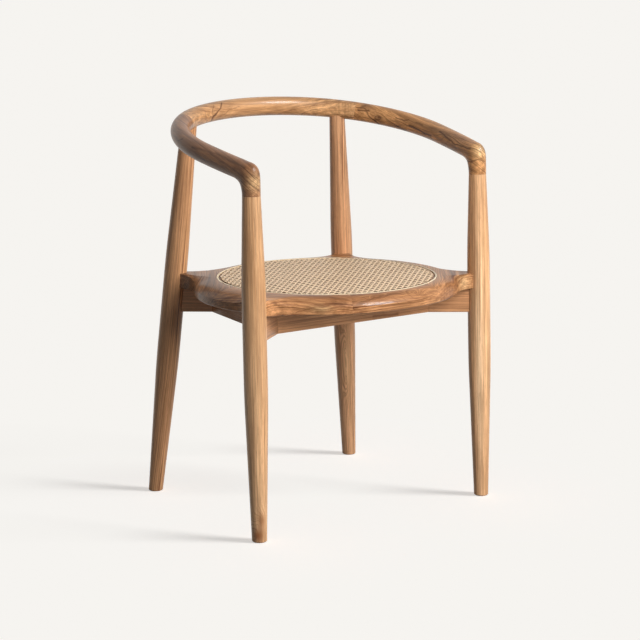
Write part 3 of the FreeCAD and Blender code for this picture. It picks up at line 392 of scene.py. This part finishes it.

# The tone of each piece, or of both pieces of a pair; the lit and shaded tones paint light and shade on
# single pieces
TONES = {
    "front_leg": LEG,
    "front_leg_right": LIT_LEG_RIGHT,
    "rear_leg": SHADED_REAR_LEG,
    "rear_leg_right": LIT_REAR_LEG_RIGHT,
    "arm_left": SHADED_ARM_LEFT,
    "arm_right": ARM_RIGHT,
    "rail_corner": RAIL,
    "crest_rail": CREST,
    "seat_front": SEAT,
    "seat_rear": SEAT,
    "seat_rear_left": SHADED_SEAT_LEFT,
    "front_strut": UNDERFRAME,
    "rear_strut": UNDERFRAME,
    "side_apron": UNDERFRAME,
    "front_apron": UNDERFRAME,
    "rear_apron": UNDERFRAME,
    "rail_dowels": PEG,
    "arm_dowels": PEG,
    "seat_tenons": PEG,
    "apron_tenons": PEG,
}

# Swirls, where the growth rings bulge, in mm: the place, the reach along and across the grain, the rise of
# the rings, and how much the heart darkens or, below zero, lightens the wood
SWIRLS = {
    "arm_right": [
        ((220, 108, 712), 14, 6, 12, 0.9),
        ((208, 135, 731), 22, 12, 10, 0.6),
        ((251, -69, 687), 45, 10, 10, 0.45),
        ((255, -160, 670), 20, 20, 4, -0.8),
    ],
    "arm_left": [((-260, -164, 650), 18, 22, 4, -0.5)],
    "crest_rail": [((-113, 199, 723), 40, 16, 10, 0)],
    "rear_leg_left": [
        ((-215, 200, 480), 50, 14, 12, 0),
        # A broad darker patch on the upper leg with no rise of the rings: painted shade
        ((-190, 175, 600), 160, 50, 0, 0.2),
    ],
    "rear_leg_right": [
        ((208, 196, 200), 90, 10, 22, -0.3),
        # A broad darker patch on the upper leg with no rise of the rings: painted shade
        ((185, 175, 600), 160, 50, 0, 0.25),
    ],
    "front_leg_left": [
        ((-264, -185, 42), 20, 12, 14, 0.7),
        ((-270, -181, 14), 22, 18, 14, 1),
    ],
    "front_leg_right": [
        # A long pale stripe with no rise of the rings: painted light down the middle of the leg
        ((245, -179, 250), 450, 12, 0, -0.9),
        ((260, -170, 560), 120, 50, 0, 0.2),
    ],
    "seat_front_left": [
        ((-150, -211, 420), 50, 10, 8, -0.5),
        ((-140, -180, 438), 90, 18, 0, 0.5),
    ],
    "seat_front": [
        ((-49, -240, 432), 30, 7, 8, 0.6),
        ((30, -245, 432), 25, 12, 12, 0),
        ((-40, -214, 439), 120, 16, 0, 0.55),
    ],
    "seat_front_right": [
        ((170, -190, 420), 30, 20, 10, 0),
        ((212, -168, 422), 30, 22, 0, -0.5),
    ],
    "seat_rear_left": [((-190, 80, 437), 90, 30, 0, 0.3)],
}

# Dark veins: the width in mm, how dark a vein is, and pixels of the photograph that it passes
VEINS = {
    "crest_rail": {
        "fork": (2.2, 1.0, [(222, 103), (220.5, 108.5), (212, 119)]),
        "fork_left": (1.8, 0.6, [(214, 105.5), (212, 113), (209, 119)]),
        "fork_right": (1.6, 0.5, [(239, 106.5), (229, 110.5), (224, 114)]),
        "middle": (1.4, 0.4, [(300, 107), (283, 112)]),
    },
    "rail_corner_left": {"joint": (1.4, 0.5, [(205.5, 111.5), (205.5, 117)])},
    "arm_right": {
        "knot": (2.8, 0.9, [(358, 110.5), (369, 110.5)]),
        "knot_top": (1.8, 0.7, [(361, 106.5), (365.5, 105.5)]),
        "knot_foot": (1.6, 0.6, [(358, 116), (379, 121)]),
        "wave": (1.8, 0.8, [(396, 117.5), (404, 120.5), (409, 119)]),
        "broad": (2.8, 1.0, [(409, 125), (415, 128), (431, 136)]),
        "dash": (3.0, 0.7, [(416, 122), (423, 125)]),
        "long": (2.4, 0.9, [(440, 131), (445, 136), (455, 144.5), (470, 149)]),
        "branch": (1.6, 0.5, [(440, 131), (447.5, 131), (462, 137.5)]),
        "elbow": (1.8, 0.8, [(471, 161), (478, 160), (485, 161.5)]),
        "elbow_inside": (1.6, 0.6, [(478, 146), (483, 157)]),
        "elbow_outside": (1.6, 0.7, [(482, 145.5), (485.5, 153)]),
    },
    "arm_left": {
        "long": (4.2, 0.6, [(192, 147), (218, 154.5), (245, 168)]),
        "dash": (2.2, 0.7, [(178, 141), (183, 138)]),
        "elbow_1": (1.3, 0.6, [(249, 172), (260, 181)]),
        "elbow_2": (1.3, 0.7, [(246.5, 176.5), (259, 186)]),
        "elbow_3": (1.3, 0.7, [(246, 180.5), (259, 190.5)]),
        "elbow_4": (1.3, 0.6, [(246, 185), (254, 191)]),
    },
    "seat_front_left": {
        "lens": (1.6, 0.6, [(296, 312.5), (308, 309), (325, 305.5), (352.5, 304.5)]),
    },
    "seat_front": {
        "lens_end": (1.6, 0.6, [(343, 305), (353, 308), (357, 311)]),
        "burl": (1.6, 0.7, [(365, 302.5), (374.5, 298), (390, 297), (400, 300)]),
        "burl_low": (1.6, 0.6, [(372, 304), (382.5, 300.5), (392.5, 300.5), (400, 304)]),
        "fan": (1.4, 0.6, [(400, 297), (407.5, 301), (420, 304), (432.5, 301)]),
        "fan_middle": (1.4, 0.6, [(407.5, 293.5), (412.5, 298), (425, 300.5), (435.5, 297)]),
        "fan_high": (1.4, 0.5, [(413, 291.5), (417.5, 295), (427.5, 297), (437.5, 293.5)]),
        "ear": (1.4, 0.5, [(430.5, 297.5), (442.5, 295.5)]),
    },
    "seat_front_right": {
        "ear": (1.4, 0.5, [(430.5, 297.5), (442.5, 295.5), (452.5, 290.5), (457.5, 285)]),
        "ear_low": (1.4, 0.5, [(448, 298.5), (457.5, 292), (462, 286)]),
    },
    "front_apron": {"band": (4.5, 0.8, [(373, 316.5), (398, 314)])},
}

# Faint upright lines on the right corner block: the width in mm, the column of each with how dark it is,
# the rows of the first line's ends, and how much these drop per column
CORNER_WIDTH = 1.3
CORNER_LINES = {339: 0.35, 342: 0.3, 345: 0.4, 348: 0.3, 351: 0.35, 355: 0.4}
CORNER_FIRST, CORNER_TOP, CORNER_FOOT, CORNER_DROP = 339, 101.5, 115, 0.15


def corner_line(column, depth):
    drop = CORNER_DROP * (column - CORNER_FIRST)
    return CORNER_WIDTH, depth, [(column, CORNER_TOP + drop), (column, CORNER_FOOT + drop)]


VEINS["rail_corner_right"] = {
    f"line_{column}": corner_line(column, depth) for column, depth in CORNER_LINES.items()
}

# The crest and its corner blocks come from one log, whose pith lies here
RAIL_PIECES = ("crest_rail", "rail_corner")
RAIL_PITH = (0.1, 0.06, 0.09)

# The direction across the growth rings of a piece that is cut far from the pith, and where the pith is then
CUTS = {"arm_left": Vector((0.602, -0.245, 0.760))}
PITH_ALONG, PITH_AWAY = 0.1, 0.25

# Other pieces are cut at steps along and across the log, so that no two show the same figure
STEP_ALONG = 0.37
STEP_ACROSS, CYCLE_ACROSS = 0.011, 5
STEP_OVER, CYCLE_OVER = -0.009, 4


def dress(node, material):
    mesh = nodes[node].data
    mesh.materials.clear()
    mesh.materials.append(material)


def log_place(node, kind, number, pith):
    """How a piece lies in its log: the grain's direction, the piece's middle and the pith."""
    if kind in RAIL_PIECES:
        low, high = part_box("crest_rail")
        return GRAIN, (low + high) / 2, RAIL_PITH
    low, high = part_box(node)
    middle = (low + high) / 2
    axis = grain_axis(node)
    if node in CUTS:
        normal = CUTS[node]
        axis = (axis - normal * axis.dot(normal)).normalized()
        away = axis.rotation_difference(GRAIN).to_matrix() @ normal * PITH_AWAY
        return axis, middle, (PITH_ALONG, away.y, away.z)
    along, across, over = pith
    along += STEP_ALONG * number
    across += STEP_ACROSS * (number % CYCLE_ACROSS)
    over += STEP_OVER * (number % CYCLE_OVER)
    return axis, middle, (along, across, over)


for number, node in enumerate(sorted(nodes)):
    kind = node.removesuffix("_right").removesuffix("_left")
    tone = TONES.get(node, TONES.get(kind))
    if tone:
        axis, middle, pith = log_place(node, kind, number, tone["pith"])
        tone = dict(tone, pith=pith)
        teak = wood_material("teak_" + node, axis, middle, tone, SWIRLS.get(node, []), VEINS.get(node, {}))
        dress(node, teak)

# Cane and reed: colours, and the repeats per metre of the fibres and patches in the coordinates named
CANE = {
    "light": colour(252, 226, 194),
    "dark": colour(243, 211, 174),
    # The back: the duller pith, darkened further as painted shade in the holes of the weave
    "back": colour(78, 50, 32),
    "coordinates": "UV",
    "fibre": (60, 2600, 1),
    "patch": (22, 40, 1),
}
REED = {
    "light": colour(255, 242, 216),
    "dark": colour(248, 226, 190),
    # The back: a little darker flanks, painted shade on the reed
    "back": colour(236, 206, 166),
    "coordinates": "Object",
    "fibre": (900, 900, 900),
    "patch": (26, 26, 26),
}

# How much of the dark colour a strand and its patches take, and where it starts; then what the fibres do,
# and how far a face has to turn from the top to show the back's colour: the duller pith, and painted shade
STRAND_SHARE, PATCH_SHARE, DARK_START = 0.55, 0.55, 0.1
CANE_SHADES = [(0.3, (0.86, 0.84, 0.8, 1)), (0.7, (1.05, 1.05, 1.05, 1))]
BACK_SHADE_STOPS = [(0.25, WHITE), (0.7, BLACK)]
CANE_RELIEF_STRENGTH, CANE_RELIEF_HEIGHT = 0.1, 0.2 * MM
CANE_GLOSS, CANE_GLOSS_SPREAD = 0.26, 0.2


def cane_material(name, tone):
    """Split rattan skin: pale straw, each strand a little different, with a darker back and flanks: pith
    and painted shade.
    """
    material, graph = new_material(name)
    strand = graph.add("NewGeometry").outputs["Random Per Island"]
    coordinates = graph.add("TexCoord")
    place = coordinates.outputs[tone["coordinates"]]
    fibre = graph.grain(place, tone["fibre"])
    patch = graph.math("MULTIPLY", graph.grain(place, tone["patch"], detail=1.0), PATCH_SHARE)
    blend = graph.math("ADD", graph.math("MULTIPLY", strand, STRAND_SHARE), patch)
    blend = graph.math("SUBTRACT", blend, DARK_START, clamp=True)
    base = graph.mix(blend, tone["light"], tone["dark"])
    base = graph.mix(1.0, base, graph.ramp(fibre, CANE_SHADES), "MULTIPLY")
    facing = graph.add("SeparateXYZ", {"Vector": coordinates.outputs["Normal"]}).outputs["Z"]
    # Faces turned from the top take the back's colour: the duller pith, and painted shade between the
    # strands
    base = graph.mix(graph.ramp(facing, BACK_SHADE_STOPS), base, tone["back"])
    relief = {"Strength": CANE_RELIEF_STRENGTH, "Distance": CANE_RELIEF_HEIGHT, "Height": fibre}
    surface = {
        "Base Color": base,
        "Roughness": graph.scaled(fibre, CANE_GLOSS_SPREAD, CANE_GLOSS),
        "Normal": graph.add("Bump", relief).outputs[0],
    }
    graph.finish(graph.add("BsdfPrincipled", surface).outputs[0])
    return material


STEEL_GRAIN = 600.0
STEEL_SHADES = [(0.3, colour(150, 150, 148)), (0.7, colour(186, 186, 182))]
STEEL_GLOSS, STEEL_GLOSS_SPREAD = 0.3, 0.2


def steel_material():
    """Zinc-plated screw steel with a fine variation."""
    material, graph = new_material("zinc_steel")
    grain = graph.noise(graph.add("TexCoord").outputs["Object"], scale=STEEL_GRAIN)
    surface = {
        "Base Color": graph.ramp(grain, STEEL_SHADES),
        "Roughness": graph.scaled(grain, STEEL_GLOSS_SPREAD, STEEL_GLOSS),
        "Metallic": 1.0,
    }
    graph.finish(graph.add("BsdfPrincipled", surface).outputs[0])
    return material


dress("seat_screws", steel_material())
dress("cane_spline", cane_material("reed", REED))

# The woven cane: pairs of strands front to back and side to side, and two sets of diagonals
PITCH = 13.5 * MM
PAIR = 0.14 * PITCH
STRAND = 1.9 * MM
THICK = 1.1 * MM
LIFT = 0.45 * MM
DIAGONAL_LAYER = 0.35
ROWS_PER_PITCH, FEWEST_ROWS = 7, 4

# A strand's section has six corners; its crown is this share of the width to each side of the middle, and
# its flanks reach this share of the crown's height
SIDES = 6
CROWN_WIDTH = 0.3
FLANK_HEIGHT = 0.3

# The panel slopes down to the back a little, and ends short of the CAD panel's edge, just under its top
TILT = math.radians(0.66)
CANE_INSET = 3.6 * MM
CANE_SINK = 0.2 * MM

# Steps between strands and between the sides of a strand in the cane's texture
TEXTURE_STEP = (0.7, 0.31)
TEXTURE_SIDE = 0.5 * MM

low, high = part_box("cane_panel")
cane_radius = (high.x - low.x) / 2 - CANE_INSET
cane_middle = (low + high) / 2
cane_middle.z = high.z - cane_radius * math.sin(TILT) - CANE_SINK
cane_frame = Matrix.Translation(cane_middle) @ Matrix.Rotation(-TILT, 4, "X")


def weave_height(s):
    """Over and under the pairs of the other direction: up near one strand, down near its neighbour."""
    cell = s / PITCH - math.floor(s / PITCH + 0.5)
    pair = PAIR / PITCH
    if abs(cell) <= pair:
        return math.sin(math.pi / 2 * cell / pair)
    side = math.copysign(1, cell)
    far = (abs(cell) - pair) / (1 - 2 * pair)
    return side * math.cos(math.pi * far)


def strand_rows(centre, direction, height):
    """Points of one flat strand: a lens section carried along its line to the panel's round edge."""
    half = math.sqrt(cane_radius ** 2 - centre.length_squared)
    across = Vector((-direction.y, direction.x, 0))
    edge = across * STRAND / 2
    brow = across * STRAND * CROWN_WIDTH
    crown = Vector((0, 0, THICK / 2))
    flank = crown * FLANK_HEIGHT
    corners = (-edge - crown, -edge + flank, -brow + crown, brow + crown, edge + flank, edge - crown)
    count = max(FEWEST_ROWS, round(2 * half / (PITCH / ROWS_PER_PITCH)))
    rows = []
    for step in range(count + 1):
        s = -half + 2 * half * step / count
        point = centre + direction * s
        middle = point + Vector((0, 0, height(point)))
        rows.append((s, [middle + corner for corner in corners]))
    return rows


def strand_offsets(spacing, start):
    """Distances from the panel's middle, at this spacing, for the strands of one direction."""
    count = int(cane_radius / spacing) + 1
    return [(index + start) * spacing for index in range(-count, count + 1)]


def weave():
    """Every strand of the panel, cut to the round opening."""
    strands = []
    for middle in strand_offsets(PITCH, 0):
        for side in (-1, 1):
            offset = middle + side * PAIR
            if abs(offset) > cane_radius - STRAND:
                continue

            def upright(point, side=side):
                return side * LIFT * weave_height(point.y)

            def level(point, side=side):
                return -side * LIFT * weave_height(point.x)

            strands.append(strand_rows(Vector((offset, 0, 0)), Vector((0, 1, 0)), upright))
            strands.append(strand_rows(Vector((0, offset, 0)), Vector((1, 0, 0)), level))
    for offset in strand_offsets(PITCH / math.sqrt(2), 0.5):
        if abs(offset) > cane_radius - STRAND:
            continue
        for turn in (1, -1):
            direction = Vector((1, turn, 0)).normalized()
            normal = Vector((-direction.y, direction.x, 0))

            def slant(point, turn=turn):
                return -turn * LIFT * DIAGONAL_LAYER

            strands.append(strand_rows(normal * offset, direction, slant))
    return strands


def strand_mesh(name, strands):
    points, faces, places = [], [], []
    for number, rows in enumerate(strands):
        first = len(points)
        for s, section in rows:
            points.extend(section)
            u = s + TEXTURE_STEP[0] * number
            v = TEXTURE_STEP[1] * number
            places.extend((u, v + TEXTURE_SIDE * side) for side in range(SIDES))
        for row in range(len(rows) - 1):
            for side in range(SIDES):
                a = first + SIDES * row + side
                b = first + SIDES * row + (side + 1) % SIDES
                faces.append((a, a + SIDES, b + SIDES, b))
        last = first + SIDES * (len(rows) - 1)
        faces.append(tuple(first + side for side in range(SIDES)))
        faces.append(tuple(last + side for side in reversed(range(SIDES))))
    mesh = bpy.data.meshes.new(name)
    mesh.from_pydata([tuple(point) for point in points], [], faces)
    layer = mesh.uv_layers.new(name="along")
    corners = np.zeros(len(mesh.loops), np.int32)
    mesh.loops.foreach_get("vertex_index", corners)
    layer.data.foreach_set("uv", np.array(places, np.float32)[corners].ravel())
    mesh.update()
    mesh.shade_smooth()
    piece = bpy.data.objects.new(name, mesh)
    bpy.context.scene.collection.objects.link(piece)
    return piece


cane = strand_mesh("cane_weave", weave())
cane.matrix_world = cane_frame
cane.data.materials.append(cane_material("cane_skin", CANE))
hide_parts("cane_panel")
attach(cane, "root")

# The floor: its colour, the light that falls on it, and the share of it that is paint, which takes shadow,
# near the feet and far from them; the rest glows
FLOOR_COLOUR = colour(246, 244, 240)
FLOOR_LIGHT = (0.399, 0.396, 0.384)
NEAR_SHARE, FAR_SHARE = 1.0, 0.2
SHADOW_NEAR, SHADOW_FAR = 0.08, 0.34
FLOOR_REACH = 30.0
FLOOR_DROP = 0.2 * MM
SOLE_DEPTH = 1 * MM

# The grey that the floor is for light that the camera doesn't see, a little uneven
GREY_SPECK = {"scale": 3.0, "detail": 1.0}
GREY_SHADES = [(0.0, (0.18, 0.18, 0.18, 1)), (1.0, (0.22, 0.22, 0.22, 1))]


def floor_parts(share):
    """What a stretch of floor paints and glows, so that both together show the floor's colour."""
    paint = tuple(c * share for c in FLOOR_COLOUR[:3]) + (1.0,)
    glow = tuple(c * (1 - share * light) for c, light in zip(FLOOR_COLOUR, FLOOR_LIGHT)) + (1.0,)
    return paint, glow


def foot(node):
    """The middle of the sole of a leg."""
    points = mesh_points(node)
    sole = points[points[:, 2] < points[:, 2].min() + SOLE_DEPTH]
    return Vector(sole.mean(0))


def floor_material():
    """A pale floor of one flat colour to the camera, with the chair's soft shadow near its feet."""
    material, graph = new_material("pale_floor")
    place = graph.add("TexCoord").outputs["Object"]
    seen = graph.seen()
    grey = graph.ramp(graph.noise(place, **GREY_SPECK), GREY_SHADES)
    away = 1.0
    for leg in ("front_leg_left", "front_leg_right", "rear_leg_left", "rear_leg_right"):
        away = graph.math("MINIMUM", graph.measure("DISTANCE", place, foot(leg)), away)
    fade = {"Value": away, "From Min": SHADOW_NEAR, "From Max": SHADOW_FAR}
    away = graph.add("MapRange", fade, interpolation_type="SMOOTHSTEP").outputs[0]
    near_paint, near_glow = floor_parts(NEAR_SHARE)
    far_paint, far_glow = floor_parts(FAR_SHARE)
    paint = graph.mix(seen, grey, graph.mix(away, near_paint, far_paint))
    paint = graph.add("BsdfDiffuse", {"Color": paint})
    glow = graph.add("Emission", {"Color": graph.mix(away, near_glow, far_glow), "Strength": seen})
    both = graph.add("AddShader", {0: paint.outputs[0], 1: glow.outputs[0]})
    graph.finish(both.outputs[0])
    return material


floor_mesh = bpy.data.meshes.new("floor")
floor_corners = [(FLOOR_REACH * x, FLOOR_REACH * y, 0) for x, y in ((-1, -1), (1, -1), (1, 1), (-1, 1))]
floor_mesh.from_pydata(floor_corners, [], [(0, 1, 2, 3)])
floor = bpy.data.objects.new("floor", floor_mesh)
floor.location.z = -FLOOR_DROP
floor_mesh.materials.append(floor_material())
bpy.context.scene.collection.objects.link(floor)

# The sky: a faint warm light on the chair, and the floor's colour where the camera sees it
SKY_TINT = (1.0, 0.94, 0.86, 1)
SKY_STRENGTH = 0.07

world = bpy.data.worlds.new("studio")
bpy.context.scene.world = world
world.use_nodes = True
sky = Graph(world.node_tree)
light_sky = sky.add("Background", {"Color": SKY_TINT, "Strength": SKY_STRENGTH})
seen_sky = sky.add("Background", {"Color": FLOOR_COLOUR, "Strength": 1.0})
mixed = sky.add("MixShader", {0: sky.seen(), 1: light_sky.outputs[0], 2: seen_sky.outputs[0]})
sky.add("OutputWorld", {"Surface": mixed.outputs[0]})


def aim(item, towards):
    """Turns a lamp or the camera in a direction and puts it in the scene."""
    item.rotation_mode = "QUATERNION"
    item.rotation_quaternion = Vector(towards).to_track_quat("-Z", "Y")
    bpy.context.scene.collection.objects.link(item)


def add_lamp(name, kind, towards, strength, tint):
    data = bpy.data.lights.new(name, kind)
    data.energy = strength
    data.color = tint
    lamp = bpy.data.objects.new(name, data)
    aim(lamp, towards)
    return lamp


def add_sun(name, towards, strength, width, tint):
    """A far light, seen under a width in degrees."""
    lamp = add_lamp(name, "SUN", towards, strength, tint)
    lamp.data.angle = math.radians(width)
    return lamp


def add_softbox(name, place, target, strength, size, tint):
    """A round panel of light, unseen by the camera."""
    lamp = add_lamp(name, "AREA", Vector(target) - Vector(place), strength, tint)
    lamp.location = place
    lamp.data.shape = "DISK"
    lamp.data.size = size
    lamp.visible_camera = False
    return lamp


def link_floor(lamp, state):
    """Lights all but the floor, or the floor alone."""
    group = bpy.data.collections.new(lamp.name + "_floor")
    group.objects.link(floor)
    lamp.light_linking.receiver_collection = group
    group.collection_objects[0].light_linking.link_state = state


PLAIN = (1.0, 1.0, 1.0)
WARM = (1.0, 0.98, 0.95)
WARMER = (1.0, 0.97, 0.94)
SEAT_PLACE = (0, 0, 0.42)

key_lamp = add_softbox("key", (0.17, -2.13, 1.38), SEAT_PLACE, strength=68, size=1.9, tint=WARM)
edge_lamp = add_sun("edge", (-0.655, 0.674, -0.342), strength=0.65, width=24, tint=WARM)
low_lamp = add_sun("low", (-0.665, 0.684, -0.300), strength=3.4, width=22, tint=PLAIN)
back_lamp = add_sun("back", (-0.20, -0.92, -0.35), strength=1.1, width=60, tint=WARMER)
shine_lamp = add_sun("shine", (-0.32, 0.64, -0.70), strength=4.0, width=22, tint=PLAIN)

# The high light alone gives highlights, which keeps glare on the seat small in low views
for lamp in (key_lamp, edge_lamp, back_lamp):
    lamp.visible_glossy = False
shine_lamp.visible_diffuse = False

# The floor keeps the shadow of the low light alone
for lamp in (key_lamp, edge_lamp, back_lamp):
    link_floor(lamp, "EXCLUDE")
link_floor(low_lamp, "INCLUDE")

# The camera's sensor, in mm as Blender takes it, and how far it sees
SENSOR = 36.0
FARTHEST = 100.0

camera_data = bpy.data.cameras.new("camera")
camera_data.sensor_width = SENSOR
camera_data.lens = SENSOR * FOCAL_PIXELS / PICTURE_PIXELS
camera_data.clip_end = FARTHEST
camera = bpy.data.objects.new("camera", camera_data)
camera.location = CAMERA_PLACE
aim(camera, SIGHT)
bpy.context.scene.camera = camera
bpy.context.scene.view_settings.view_transform = "Standard"
